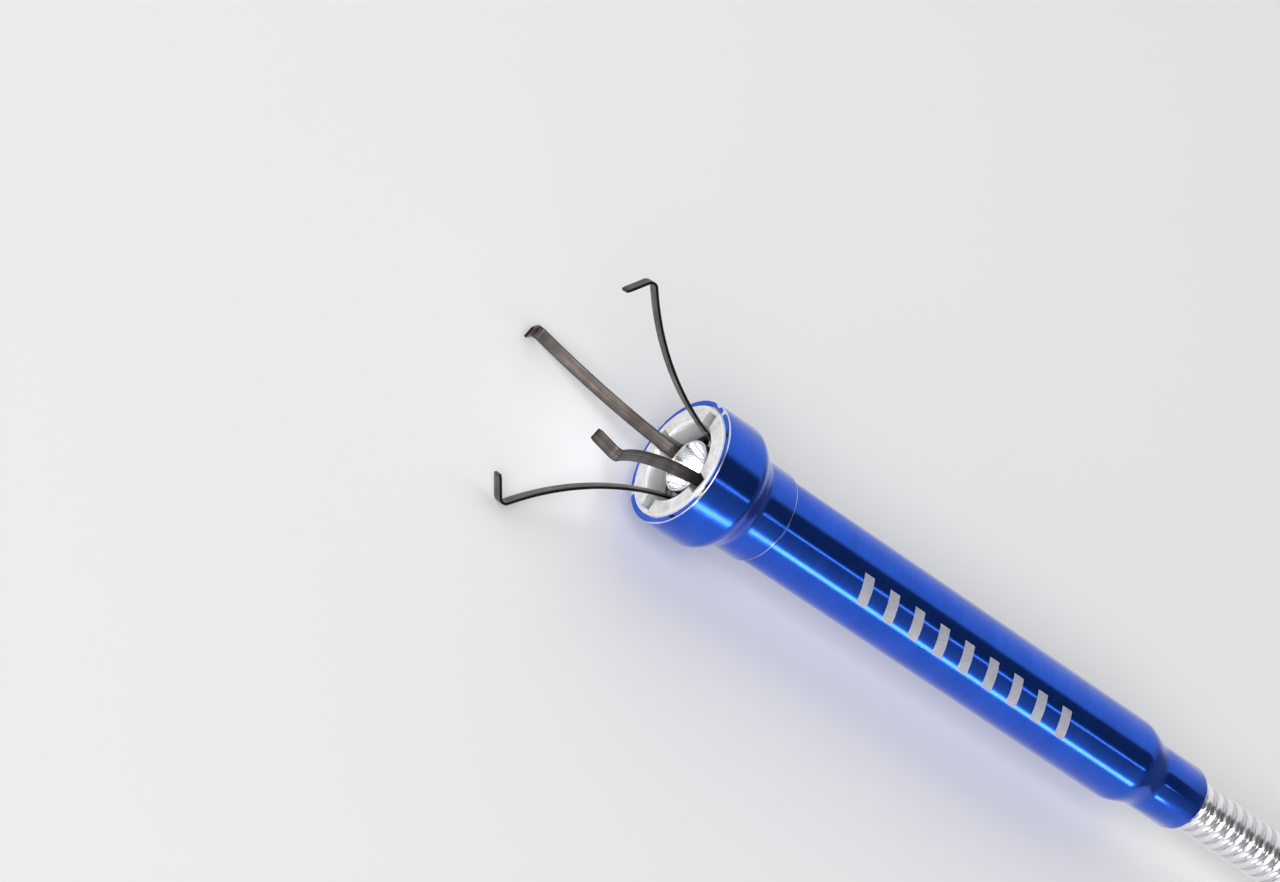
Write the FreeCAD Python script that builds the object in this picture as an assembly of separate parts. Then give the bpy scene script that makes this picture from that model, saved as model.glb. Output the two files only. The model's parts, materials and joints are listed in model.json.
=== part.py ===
import FreeCAD, Part
import math
import os

# Flexible pick-up tool: a turned head with a ring magnet, a lamp and four spring claws,
# a gooseneck, and a handle whose thumb button works the claws through a cable.
#
# Frame: millimetres. The tool lies along X with its origin at the centre of the magnet's
# front face, and +X points out of that face. "Depth" is the distance back from the face,
# along -X. Azimuth is measured about the tool's axis, from +Z towards +Y.
# The tool is drawn with its button pressed, so its claws are out and spread.

# ---- head ----
CAP_RADIUS = 10.2            # collar around the magnet
CAP_LIP_DEPTH = 0.3          # the magnet stands this much proud of the collar
COLLAR_END = 7.4
SKIRT_RADIUS = 7.45          # narrow rear part of the cap
SKIRT_END = 17.6
BARREL_RADIUS = 7.0
BARREL_START = 17.9          # front shoulder of the barrel
BARREL_END = 98.4            # where the rear taper starts
SPIGOT_START = 12.6          # the barrel's spigot reaches this far into the cap
SPIGOT_RADIUS = 6.5
THREAD_RADIUS = 6.6          # bore of the cap over the spigot
BARREL_BORE = 6.0
BARREL_BORE_END = 97.0
TAPER_LENGTH = 6.6
FERRULE_RADIUS = 5.5         # narrow end of barrel and handle, crimped on the gooseneck
FERRULE_END = 114.0
NECK_BORE = 4.4

# ---- magnet and its seat ----
MAGNET_RADIUS = 9.15
MAGNET_BORE = 6.62
MAGNET_DEPTH = 4.0
BACKING_DEPTH = 5.05         # rear of the steel ring behind the magnet
POCKET_RADIUS = 9.2
SLOT_WIDTH = 2.6             # slots that let the claws through the magnet
SLOT_REACH = 8.45            # radius that the slots reach
CAVITY_RADIUS = 8.2          # room inside the cap for the claws to bow outwards

# ---- claws: flat spring strips ----
STRIP_WIDTH = 2.0
STRIP_THICKNESS = 0.45
SHANK_RADIUS = 5.0           # radius at which the shanks run along the barrel
CLAW_AZIMUTHS = {"upper_left": 45.0, "upper_right": -45.0, "lower_left": 135.0, "lower_right": -135.0}
LEAN = 7.5                   # each claw spreads this much towards the horizontal, in degrees
ROOT_DEPTH = 6.0             # where the straight shank starts to curve outwards
ROOT_BEND = 20.5             # radius of the first, tight curve
ROOT_ANGLE = 17.0            # slope where the claw passes the magnet's face
SWEEP_BEND = 44.5            # radius of the long outward sweep
KNUCKLE_ANGLE = 28.2         # slope at the place where finger and tip meet
HOOK_ANGLE = 48.3            # slope where the hook starts
HOOK_BEND = 1.0
HOOK_TURN = -100.0
HOOK_STRAIGHT = 3.6
JOINT_GAP = 0.09             # strips stop this short of the line that they flex about

# ---- lamp cartridge, on the axis between the claws ----
REFLECTOR_RADIUS = 4.2
REFLECTOR_FRONT = 1.6
REFLECTOR_BACK = 5.7
LAMP_RADIUS = 1.5
LAMP_TIP = 2.6
LAMP_RIM_RADIUS = 1.75
LAMP_BACK = 7.5
HOLDER_WAIST_START = 13.0
HOLDER_WAIST_RADIUS = 3.6
HOLDER_TAIL_RADIUS = 2.4
HOLDER_END = 27.4
SPOKE_WIDTH = 1.8
SLEEVE_START = 25.6
SLEEVE_RADIUS = 4.4
SLEEVE_END = 41.5
CELL_RADIUS = 3.93           # three button cells, 7.9 mm across and 3.6 mm thick
CELL_THICKNESS = 3.6
CELL_START = 27.9
CELL_COUNT = 3
PLUG_START = SLEEVE_END - 0.9
CONTACT_THICKNESS = 0.3      # dished washer between the last cell and the plug
WIRE_BORE = 1.2

# ---- claw carrier and cable ----
CARRIER_START = 43.0
CARRIER_END = 53.0
CARRIER_RADIUS = 5.9
CABLE_RADIUS = 0.8
CABLE_HOLE = 0.85
CABLE_FRONT = CARRIER_START + 3.0
NECK_BUSH_LENGTH = 5.0
CARRIER_TRAVEL = 20.0        # stroke of the button, the cable and the carrier
SCREW_DEPTH = CARRIER_END - 2.4
SCREW_RADIUS = 1.0
SCREW_LENGTH = 4.6
SOCKET_RADIUS = 0.55
SOCKET_DEPTH = 1.4

# ---- gooseneck: links of wound wire that flex about vertical lines ----
COIL_RADIUS = 4.4
COIL_GROOVE = 0.32
COIL_PITCH = 2.4
COILS_PER_LINK = 18
LINK_LENGTH = COIL_PITCH * COILS_PER_LINK
FLEX_COUNT = 8
FIRST_FLEX = 128.4
COIL_BORE = 2.4
COIL_TAIL = 16.8             # length of wound wire inside each ferrule
RELIEF_ANGLE = 10.6          # cone cut on each link's ends, so that a joint flexes 20 degrees
RELIEF_GAP = 0.15
CABLE_GAP = 0.4

# ---- handle ----
LAST_FLEX = FIRST_FLEX + (FLEX_COUNT - 1) * LINK_LENGTH
HANDLE_START = LAST_FLEX + (FERRULE_END - BARREL_END) - 1.2
HANDLE_SHOULDER = HANDLE_START + (FERRULE_END - BARREL_END)
HANDLE_BORE = 5.8
HANDLE_BORE_START = HANDLE_SHOULDER + 5.2
HANDLE_END = HANDLE_BORE_START + 79.0
GRIP_GROOVES = 5
FLANGE_RADIUS = 12.8         # just inside the lower claws' reach, so the tool lies almost flat
FLANGE_HUB_RADIUS = 8.6
FLANGE_HUB_START = HANDLE_END - 12.0
FLANGE_DISC_START = HANDLE_END - 4.0
FLANGE_END = HANDLE_END + 2.0
ROD_RADIUS = 2.5
ROD_HOLE = 2.58
PISTON_START = HANDLE_BORE_START + 34.0
PISTON_LENGTH = 4.0
PISTON_RADIUS = 5.72
BUSH_START = PISTON_START + PISTON_LENGTH + CARRIER_TRAVEL + 0.3
BUTTON_START = FLANGE_END + 1.0
BUTTON_END = BUTTON_START + 9.0
BUTTON_RADIUS = 6.2
CLAMP_RADIUS = 1.6
CLAMP_END = PISTON_START + 8.0
STUD_RADIUS = 1.6
STUD_END = BUTTON_START + 5.0
SPRING_WIRE = 0.5
SPRING_RADIUS = 4.6
SPRING_TURNS = 11

X_AXIS = FreeCAD.Vector(1, 0, 0)
ORIGIN = FreeCAD.Vector(0, 0, 0)


def station(depth, radius):
    """A point of a turned outline, in the plane through the axis."""
    return FreeCAD.Vector(-depth, 0, radius)


def closed_face(edges):
    return Part.Face(Part.Wire(edges))


def turned(outline):
    """Turns an outline of (depth, radius) points about the tool's axis.

    An entry of four numbers is an arc: a point on it, then its end.
    """
    edges = []
    last = station(*outline[0])
    for entry in outline[1:] + [outline[0]]:
        end = station(*entry[-2:])
        if len(entry) == 4:
            edges.append(Part.Arc(last, station(*entry[:2]), end).toShape())
        else:
            edges.append(Part.LineSegment(last, end).toShape())
        last = end
    return closed_face(edges).revolve(ORIGIN, X_AXIS, 360)


def rod(start, end, radius):
    """A plain cylinder on the axis, from one depth to another."""
    return Part.makeCylinder(radius, end - start, station(end, 0), X_AXIS)


def tube(start, end, radius, bore):
    return rod(start, end, radius).cut(rod(start, end, bore))


def around(azimuth, radius, depth=0.0):
    """A point at an azimuth, a radius and a depth."""
    angle = math.radians(azimuth)
    return FreeCAD.Vector(-depth, radius * math.sin(angle), radius * math.cos(angle))


def coil_spring(start, end, mean_radius, wire_radius, turns):
    """An open coil on the axis whose wire stays between the two depths."""
    length = end - start - 2 * wire_radius
    helix = Part.makeHelix(length / turns, length, mean_radius)
    circle = Part.makeCircle(wire_radius, FreeCAD.Vector(mean_radius, 0, 0), FreeCAD.Vector(0, 1, 0))
    spring = Part.Wire(helix).makePipeShell([Part.Wire(circle)], True, True)
    spring.rotate(ORIGIN, FreeCAD.Vector(0, 1, 0), 90)
    spring.translate(FreeCAD.Vector(-end + wire_radius, 0, 0))
    return Part.makeSolid(spring) if spring.ShapeType == "Shell" else spring


# ---- claw geometry ----

def splay_azimuth(azimuth):
    """The direction in which a claw spreads, leaning towards the horizontal."""
    side = math.copysign(1.0, azimuth)
    return azimuth + side * LEAN if abs(azimuth) < 90 else azimuth - side * LEAN


def strip(azimuth, start, heading, segments, width=STRIP_WIDTH, thickness=STRIP_THICKNESS):
    """A bent strip in one claw's own plane.

    start is (x, spread): along the tool, and outwards from the shank's line. heading is in
    degrees from +X, outwards positive. A segment is a length, or (radius, turn) for an arc.
    """
    splay = around(splay_azimuth(azimuth), 1.0)
    across = X_AXIS.cross(splay)
    base = around(azimuth, SHANK_RADIUS) - across * (width / 2)

    def place(x, spread):
        return base + X_AXIS * x + splay * spread

    def beside(x, spread, angle, offset):
        return place(x - offset * math.sin(angle), spread + offset * math.cos(angle))

    x, spread = start
    angle = math.radians(heading)
    half = thickness / 2
    sides = {half: [], -half: []}
    first = {offset: beside(x, spread, angle, offset) for offset in sides}
    last = dict(first)
    for segment in segments:
        if isinstance(segment, tuple):
            radius, turn = segment[0], math.radians(segment[1])
            lift = math.copysign(radius, turn)
            centre = (x - lift * math.sin(angle), spread + lift * math.cos(angle))
            middle, end = angle + turn / 2, angle + turn
            x = centre[0] + lift * math.sin(end)
            spread = centre[1] - lift * math.cos(end)
            for offset in sides:
                reach = lift - offset
                via = place(centre[0] + reach * math.sin(middle), centre[1] - reach * math.cos(middle))
                stop = beside(x, spread, end, offset)
                sides[offset].append(Part.Arc(last[offset], via, stop).toShape())
                last[offset] = stop
            angle = end
        else:
            x += segment * math.cos(angle)
            spread += segment * math.sin(angle)
            for offset in sides:
                stop = beside(x, spread, angle, offset)
                sides[offset].append(Part.LineSegment(last[offset], stop).toShape())
                last[offset] = stop
    edges = sides[half] + [Part.LineSegment(last[half], last[-half]).toShape()]
    edges += sides[-half][::-1] + [Part.LineSegment(first[-half], first[half]).toShape()]
    return closed_face(edges).extrude(across * width)


def sweep_point(slope):
    """Where the claw's centre line has a given slope, as (x, spread)."""
    root, here = math.radians(ROOT_ANGLE), math.radians(slope)
    x = -ROOT_DEPTH + ROOT_BEND * math.sin(root) + SWEEP_BEND * (math.sin(here) - math.sin(root))
    spread = ROOT_BEND * (1 - math.cos(root)) + SWEEP_BEND * (math.cos(root) - math.cos(here))
    return x, spread


def shank(azimuth):
    start = (-CARRIER_END + 1.0, 0)
    return strip(azimuth, start, 0, [CARRIER_END - 1.0 - ROOT_DEPTH - JOINT_GAP])


def finger(azimuth):
    """From the root of the claw to the knuckle, stopping just short of both."""
    skip_root = math.degrees(JOINT_GAP / ROOT_BEND)
    skip_knuckle = math.degrees(JOINT_GAP / SWEEP_BEND)
    start = (-ROOT_DEPTH + JOINT_GAP, 0)
    bends = [(ROOT_BEND, ROOT_ANGLE - skip_root), (SWEEP_BEND, KNUCKLE_ANGLE - ROOT_ANGLE - skip_knuckle)]
    return strip(azimuth, start, skip_root, bends)


def tip(azimuth):
    """From the knuckle to the hook, whose end points inwards."""
    slope = KNUCKLE_ANGLE + math.degrees(JOINT_GAP / SWEEP_BEND)
    bends = [(SWEEP_BEND, HOOK_ANGLE - slope), (HOOK_BEND, HOOK_TURN), HOOK_STRAIGHT]
    return strip(azimuth, sweep_point(slope), slope, bends)


def claw_slot(azimuth, depth):
    """A slot that the claw passes through, from the front face to a depth."""
    reach = SLOT_REACH - SHANK_RADIUS
    start = (-depth - 1.0, (reach - 1.0) / 2)
    return strip(azimuth, start, 0, [depth + 2.0], width=SLOT_WIDTH, thickness=reach + 1.0)


# ---- head: barrel, and the gooseneck's front end ----

def barrel():
    shoulder = BARREL_END
    return turned([
        (SPIGOT_START, BARREL_BORE), (SPIGOT_START, SPIGOT_RADIUS - 0.3),
        (SPIGOT_START + 0.3, SPIGOT_RADIUS), (BARREL_START, SPIGOT_RADIUS),
        (BARREL_START, BARREL_RADIUS - 0.2), (BARREL_START + 0.2, BARREL_RADIUS),
        (shoulder, BARREL_RADIUS), (shoulder + 1.9, 6.75, shoulder + 3.2, 6.25),
        (shoulder + 4.4, 5.8, shoulder + TAPER_LENGTH, FERRULE_RADIUS),
        (FERRULE_END - 1.2, FERRULE_RADIUS), (FERRULE_END - 0.3, 5.2, FERRULE_END, NECK_BORE + 0.3),
        (FERRULE_END, NECK_BORE), (BARREL_BORE_END, NECK_BORE), (BARREL_BORE_END, BARREL_BORE)])


def neck_bush():
    """Guides the cable where it leaves the barrel."""
    return tube(BARREL_BORE_END - NECK_BUSH_LENGTH, BARREL_BORE_END, BARREL_BORE, CABLE_HOLE)


# ---- cap: everything that turns to switch the lamp ----

def front_cap():
    return turned([
        (CAP_LIP_DEPTH, POCKET_RADIUS), (CAP_LIP_DEPTH, CAP_RADIUS - 0.3),
        (CAP_LIP_DEPTH + 0.09, CAP_RADIUS - 0.09, CAP_LIP_DEPTH + 0.3, CAP_RADIUS),
        (COLLAR_END, CAP_RADIUS), (COLLAR_END + 1.9, 9.53, COLLAR_END + 3.3, 8.3),
        (COLLAR_END + 4.1, 7.72, COLLAR_END + 5.5, SKIRT_RADIUS),
        (SKIRT_END - 0.2, SKIRT_RADIUS), (SKIRT_END, SKIRT_RADIUS - 0.2), (SKIRT_END, THREAD_RADIUS),
        (COLLAR_END, THREAD_RADIUS), (COLLAR_END, CAVITY_RADIUS),
        (BACKING_DEPTH, CAVITY_RADIUS), (BACKING_DEPTH, POCKET_RADIUS)])


def slotted_ring(start, end, edge):
    """A ring round the claws, with one slot for each of them."""
    ring = turned([
        (start, MAGNET_BORE), (start, MAGNET_RADIUS - edge), (start + edge, MAGNET_RADIUS),
        (end, MAGNET_RADIUS), (end, MAGNET_BORE)])
    for azimuth in CLAW_AZIMUTHS.values():
        ring = ring.cut(claw_slot(azimuth, end))
    return ring


def reflector():
    """A bright cup around the lamp."""
    return turned([
        (REFLECTOR_FRONT, REFLECTOR_RADIUS), (REFLECTOR_BACK, REFLECTOR_RADIUS),
        (REFLECTOR_BACK, LAMP_RADIUS + 0.02), (REFLECTOR_BACK - 0.6, LAMP_RADIUS + 0.02),
        (REFLECTOR_FRONT + 1.7, 3.1, REFLECTOR_FRONT, REFLECTOR_RADIUS - 0.25)])


def led_lamp():
    """A round-nosed lamp with its rim behind the reflector."""
    nose = LAMP_TIP + LAMP_RADIUS
    slant = LAMP_RADIUS * math.sqrt(0.5)
    return turned([
        (LAMP_TIP, 0), (nose - slant, slant, nose, LAMP_RADIUS),
        (REFLECTOR_BACK, LAMP_RADIUS), (REFLECTOR_BACK, LAMP_RIM_RADIUS),
        (LAMP_BACK, LAMP_RIM_RADIUS), (LAMP_BACK, 0)])


def led_leads():
    """Two wires from the lamp to the cells."""
    leads = []
    for side in (-0.6, 0.6):
        place = station(CELL_START, 0) + FreeCAD.Vector(0, 0, side)
        leads.append(Part.makeCylinder(0.25, CELL_START - LAMP_BACK, place, X_AXIS))
    return Part.makeCompound(leads)


def lamp_holder():
    """Carries the lamp, and hangs in the cap on four spokes between the claws."""
    body = turned([
        (REFLECTOR_BACK, LAMP_RIM_RADIUS), (REFLECTOR_BACK, REFLECTOR_RADIUS),
        (HOLDER_WAIST_START, REFLECTOR_RADIUS), (HOLDER_WAIST_START, HOLDER_WAIST_RADIUS),
        (SLEEVE_START, HOLDER_WAIST_RADIUS), (SLEEVE_START, HOLDER_TAIL_RADIUS),
        (HOLDER_END, HOLDER_TAIL_RADIUS), (HOLDER_END, WIRE_BORE),
        (LAMP_BACK, WIRE_BORE), (LAMP_BACK, LAMP_RIM_RADIUS)])
    length = CAVITY_RADIUS - 0.05
    spoke = Part.makeBox(
        COLLAR_END - REFLECTOR_BACK, 2 * length, SPOKE_WIDTH,
        FreeCAD.Vector(-COLLAR_END, -length, -SPOKE_WIDTH / 2))
    crossed = spoke.copy()
    crossed.rotate(ORIGIN, X_AXIS, 90)
    outside = tube(REFLECTOR_BACK, COLLAR_END, length, REFLECTOR_RADIUS - 0.3)
    return body.fuse(spoke.fuse(crossed).common(outside)).removeSplitter()


def battery_sleeve():
    bore = CELL_RADIUS + 0.04
    return turned([
        (SLEEVE_START, HOLDER_TAIL_RADIUS), (SLEEVE_START, SLEEVE_RADIUS - 0.3),
        (SLEEVE_START + 0.3, SLEEVE_RADIUS), (SLEEVE_END, SLEEVE_RADIUS), (SLEEVE_END, bore),
        (HOLDER_END, bore), (HOLDER_END, HOLDER_TAIL_RADIUS)])


def button_cells():
    cells = []
    for index in range(CELL_COUNT):
        front = CELL_START + index * CELL_THICKNESS
        cells.append(turned([
            (front, 0), (front, 2.9), (front + 0.5, 3.2), (front + 0.5, CELL_RADIUS),
            (front + CELL_THICKNESS - 0.05, CELL_RADIUS), (front + CELL_THICKNESS - 0.05, 0)]))
    return Part.makeCompound(cells)


def contact_spring():
    """A dished washer that presses the cells forwards."""
    start, inner, outer = CELL_START + CELL_COUNT * CELL_THICKNESS, 1.0, CELL_RADIUS - 0.4
    return turned([
        (start, inner), (start, inner + 0.5), (PLUG_START - CONTACT_THICKNESS, outer),
        (PLUG_START, outer), (PLUG_START, outer - 0.5), (start + CONTACT_THICKNESS, inner)])


def sleeve_plug():
    inner = CELL_RADIUS + 0.02
    return turned([
        (PLUG_START, 0), (PLUG_START, inner), (SLEEVE_END, inner),
        (SLEEVE_END, SLEEVE_RADIUS), (SLEEVE_END + 0.8, SLEEVE_RADIUS), (SLEEVE_END + 0.8, 0)])


# ---- carrier: slides in the barrel and moves the claws ----

def carrier_screw():
    """A grub screw with a hexagon socket, which grips the cable."""
    place = around(0, CABLE_RADIUS, SCREW_DEPTH)
    screw = Part.makeCylinder(SCREW_RADIUS, SCREW_LENGTH, place, FreeCAD.Vector(0, 0, 1))
    socket_floor = around(0, CABLE_RADIUS + SCREW_LENGTH - SOCKET_DEPTH, SCREW_DEPTH)
    corners = []
    for index in range(7):
        turn = math.radians(60 * index)
        corners.append(socket_floor + FreeCAD.Vector(math.cos(turn), math.sin(turn), 0) * SOCKET_RADIUS)
    hexagon = Part.Face(Part.makePolygon(corners)).extrude(FreeCAD.Vector(0, 0, 2))
    return screw.cut(hexagon)


def claw_carrier():
    hub = turned([
        (CARRIER_START, 0), (CARRIER_START, CARRIER_RADIUS - 0.4), (CARRIER_START + 0.4, CARRIER_RADIUS),
        (CARRIER_END - 0.4, CARRIER_RADIUS), (CARRIER_END, CARRIER_RADIUS - 0.4), (CARRIER_END, 0)])
    hub = hub.cut(rod(CABLE_FRONT, CARRIER_END, CABLE_RADIUS))
    screw_hole = Part.makeCylinder(
        SCREW_RADIUS, CARRIER_RADIUS + 1.0, around(0, 0, SCREW_DEPTH), FreeCAD.Vector(0, 0, 1))
    hub = hub.cut(screw_hole)
    for azimuth in CLAW_AZIMUTHS.values():
        hub = hub.cut(shank(azimuth))
    return hub


def push_cable_front():
    return rod(CABLE_FRONT, FIRST_FLEX - CARRIER_TRAVEL - CABLE_GAP, CABLE_RADIUS)


# ---- gooseneck ----

def relief(depth):
    """The double cone that is cut away where two links flex."""
    reach = COIL_RADIUS + 1.0
    slope = reach * math.tan(math.radians(RELIEF_ANGLE))
    return turned([
        (depth - RELIEF_GAP, 0), (depth - RELIEF_GAP - slope, reach),
        (depth + RELIEF_GAP + slope, reach), (depth + RELIEF_GAP, 0)])


def wound_wire(start, coils):
    """Wound wire with one rounded ridge to each coil."""
    outline = [(start, COIL_BORE), (start, COIL_RADIUS - COIL_GROOVE)]
    for coil in range(coils):
        ridge = start + coil * COIL_PITCH
        outline.append((ridge + COIL_PITCH / 2, COIL_RADIUS, ridge + COIL_PITCH, COIL_RADIUS - COIL_GROOVE))
    outline.append((start + coils * COIL_PITCH, COIL_BORE))
    return turned(outline)


def gooseneck_link(number):
    start = FIRST_FLEX + (number - 1) * LINK_LENGTH
    link = wound_wire(start, COILS_PER_LINK)
    return link.cut(relief(start)).cut(relief(start + LINK_LENGTH))


def gooseneck_front():
    """From inside the barrel's ferrule to the first place where the wire flexes."""
    coils = round((FIRST_FLEX - FERRULE_END + COIL_TAIL) / COIL_PITCH)
    start = FIRST_FLEX - coils * COIL_PITCH
    return wound_wire(start, coils).cut(relief(FIRST_FLEX))


def gooseneck_rear():
    coils = round((HANDLE_START - LAST_FLEX + COIL_TAIL - COIL_PITCH) / COIL_PITCH)
    return wound_wire(LAST_FLEX, coils).cut(relief(LAST_FLEX))


def push_cable_link(number):
    start = FIRST_FLEX + (number - 1) * LINK_LENGTH
    return rod(start + CABLE_GAP, start + LINK_LENGTH - CABLE_GAP, CABLE_RADIUS)


# ---- handle and plunger ----

def handle_tube():
    start, shoulder = HANDLE_START, HANDLE_SHOULDER
    outline = [
        (start, NECK_BORE), (start, NECK_BORE + 0.3), (start + 0.3, 5.2, start + 1.2, FERRULE_RADIUS),
        (shoulder - TAPER_LENGTH, FERRULE_RADIUS), (shoulder - 4.4, 5.8, shoulder - 3.2, 6.25),
        (shoulder - 1.9, 6.75, shoulder, BARREL_RADIUS)]
    for groove in range(GRIP_GROOVES):
        at = FLANGE_HUB_START - 6.0 - (GRIP_GROOVES - groove) * 3.0
        outline += [(at, BARREL_RADIUS), (at + 0.5, BARREL_RADIUS - 0.5, at + 1.0, BARREL_RADIUS)]
    wall_start = HANDLE_BORE_START - 5.0
    outline += [
        (HANDLE_END, BARREL_RADIUS), (HANDLE_END, HANDLE_BORE), (HANDLE_BORE_START, HANDLE_BORE),
        (HANDLE_BORE_START, WIRE_BORE), (wall_start, WIRE_BORE), (wall_start, NECK_BORE)]
    return turned(outline)


def finger_flange():
    """The disc that two fingers pull on while the thumb presses the button."""
    hub, disc, end = FLANGE_HUB_START, FLANGE_DISC_START, FLANGE_END
    return turned([
        (hub, BARREL_RADIUS), (hub, FLANGE_HUB_RADIUS - 0.5), (hub + 0.5, FLANGE_HUB_RADIUS),
        (disc - 2.0, FLANGE_HUB_RADIUS), (disc - 0.6, FLANGE_HUB_RADIUS + 0.6, disc, FLANGE_HUB_RADIUS + 2.0),
        (disc, FLANGE_RADIUS - 1.2), (disc + 0.35, FLANGE_RADIUS - 0.35, disc + 1.2, FLANGE_RADIUS),
        (disc + 3.2, FLANGE_RADIUS), (disc + 4.05, FLANGE_RADIUS - 0.35, disc + 4.4, FLANGE_RADIUS - 1.2),
        (disc + 4.4, FLANGE_HUB_RADIUS), (end, FLANGE_HUB_RADIUS - 1.0), (end, ROD_HOLE),
        (HANDLE_END, ROD_HOLE), (HANDLE_END, BARREL_RADIUS)])


def guide_bush():
    return tube(BUSH_START, HANDLE_END, HANDLE_BORE, ROD_HOLE)


def return_spring():
    return coil_spring(HANDLE_BORE_START + 0.1, PISTON_START - 0.1, SPRING_RADIUS, SPRING_WIRE, SPRING_TURNS)


def plunger_rod():
    piston_end = PISTON_START + PISTON_LENGTH
    return turned([
        (PISTON_START, CLAMP_RADIUS), (PISTON_START, PISTON_RADIUS - 0.3),
        (PISTON_START + 0.3, PISTON_RADIUS), (piston_end, PISTON_RADIUS), (piston_end, ROD_RADIUS),
        (BUTTON_START, ROD_RADIUS), (BUTTON_START, STUD_RADIUS), (STUD_END, STUD_RADIUS),
        (STUD_END, 0), (CLAMP_END, 0), (CLAMP_END, CLAMP_RADIUS)])


def cable_end_clamp():
    return tube(PISTON_START - 1.0, CLAMP_END, CLAMP_RADIUS, CABLE_RADIUS)


def push_cable_rear():
    return rod(LAST_FLEX + CABLE_GAP, CLAMP_END, CABLE_RADIUS)


def thumb_button():
    start, end = BUTTON_START, BUTTON_END
    return turned([
        (start, STUD_RADIUS), (start, BUTTON_RADIUS - 1.4), (start + 0.4, BUTTON_RADIUS - 0.5),
        (start + 2.4, BUTTON_RADIUS - 0.9), (start + 4.2, BUTTON_RADIUS - 0.5),
        (end - 2.4, BUTTON_RADIUS), (end - 1.2, BUTTON_RADIUS - 0.15, end - 0.6, BUTTON_RADIUS - 1.1),
        (end - 0.1, BUTTON_RADIUS - 3.2, end, 1.0), (end, 0),
        (STUD_END, 0), (STUD_END, STUD_RADIUS)])


def all_nodes():
    nodes = {
        "barrel": barrel(),
        "neck_bush": neck_bush(),
        "front_cap": front_cap(),
        "magnet_ring": slotted_ring(0.0, MAGNET_DEPTH, 0.12),
        "magnet_backing_ring": slotted_ring(MAGNET_DEPTH, BACKING_DEPTH, 0.05),
        "reflector": reflector(),
        "led_lamp": led_lamp(),
        "led_leads": led_leads(),
        "lamp_holder": lamp_holder(),
        "battery_sleeve": battery_sleeve(),
        "button_cells": button_cells(),
        "contact_spring": contact_spring(),
        "sleeve_plug": sleeve_plug(),
        "claw_carrier": claw_carrier(),
        "carrier_screw": carrier_screw(),
        "push_cable_front": push_cable_front(),
        "gooseneck_front": gooseneck_front(),
        "gooseneck_rear": gooseneck_rear(),
        "push_cable_rear": push_cable_rear(),
        "handle_tube": handle_tube(),
        "finger_flange": finger_flange(),
        "guide_bush": guide_bush(),
        "return_spring": return_spring(),
        "plunger_rod": plunger_rod(),
        "cable_end_clamp": cable_end_clamp(),
        "thumb_button": thumb_button(),
    }
    for name, azimuth in CLAW_AZIMUTHS.items():
        nodes[f"claw_{name}_shank"] = shank(azimuth)
        nodes[f"claw_{name}_finger"] = finger(azimuth)
        nodes[f"claw_{name}_tip"] = tip(azimuth)
    for number in range(1, FLEX_COUNT):
        nodes[f"gooseneck_link_{number}"] = gooseneck_link(number)
        nodes[f"push_cable_link_{number}"] = push_cable_link(number)
    return nodes


def main():
    os.makedirs("parts", exist_ok=True)
    for name, shape in all_nodes().items():
        if not shape.isValid() or shape.Volume <= 0:
            raise ValueError(f"{name} is not a valid solid")
        shape.exportStep(f"parts/{name}.step")
        box = shape.BoundBox
        print(f"{name}: {shape.Volume:.1f} mm3, x {box.XMin:.1f} to {box.XMax:.1f}")


main()
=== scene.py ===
import json
import math

import bmesh
import bpy
from mathutils import Matrix, Vector


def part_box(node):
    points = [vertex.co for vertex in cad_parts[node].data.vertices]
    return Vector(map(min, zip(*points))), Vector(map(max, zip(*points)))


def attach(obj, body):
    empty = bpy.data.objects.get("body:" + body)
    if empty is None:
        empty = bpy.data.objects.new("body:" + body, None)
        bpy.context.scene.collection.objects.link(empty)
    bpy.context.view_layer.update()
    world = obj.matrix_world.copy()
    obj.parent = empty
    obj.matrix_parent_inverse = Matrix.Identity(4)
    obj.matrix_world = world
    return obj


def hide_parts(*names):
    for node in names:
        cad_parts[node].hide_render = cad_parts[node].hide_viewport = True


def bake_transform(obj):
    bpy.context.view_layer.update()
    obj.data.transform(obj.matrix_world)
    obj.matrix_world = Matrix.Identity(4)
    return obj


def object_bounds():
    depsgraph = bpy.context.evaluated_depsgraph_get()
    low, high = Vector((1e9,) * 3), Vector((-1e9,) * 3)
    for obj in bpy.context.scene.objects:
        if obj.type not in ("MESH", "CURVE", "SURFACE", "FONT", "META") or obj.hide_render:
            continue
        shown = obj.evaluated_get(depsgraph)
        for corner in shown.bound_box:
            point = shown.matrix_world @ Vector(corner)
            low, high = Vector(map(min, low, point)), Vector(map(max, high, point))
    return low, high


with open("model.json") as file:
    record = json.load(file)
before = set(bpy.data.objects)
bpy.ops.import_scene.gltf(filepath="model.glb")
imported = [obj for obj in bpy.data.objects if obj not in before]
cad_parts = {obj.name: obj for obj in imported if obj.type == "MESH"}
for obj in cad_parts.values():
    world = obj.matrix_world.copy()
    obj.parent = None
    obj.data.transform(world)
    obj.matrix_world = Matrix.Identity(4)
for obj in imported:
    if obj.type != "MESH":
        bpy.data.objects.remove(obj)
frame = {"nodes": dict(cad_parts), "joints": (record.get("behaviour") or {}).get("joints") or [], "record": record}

cad_low, cad_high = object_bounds()

# The tool lies along X: the magnet's face is at x = 0 and faces +X. Outlines are written in
# millimetres as (depth behind that face, radius), and azimuth runs from +Z towards +Y.
MM = 0.001
TURN_SEGMENTS = 144
SMOOTH_ANGLE = math.radians(32)


def depth_range(node):
    """(front, rear) of a CAD node, in millimetres behind the magnet's face."""
    low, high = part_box(node)
    return -high[0] / MM, -low[0] / MM


def widest(node):
    """Radius of a turned CAD node, in millimetres."""
    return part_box(node)[1][1] / MM


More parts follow.
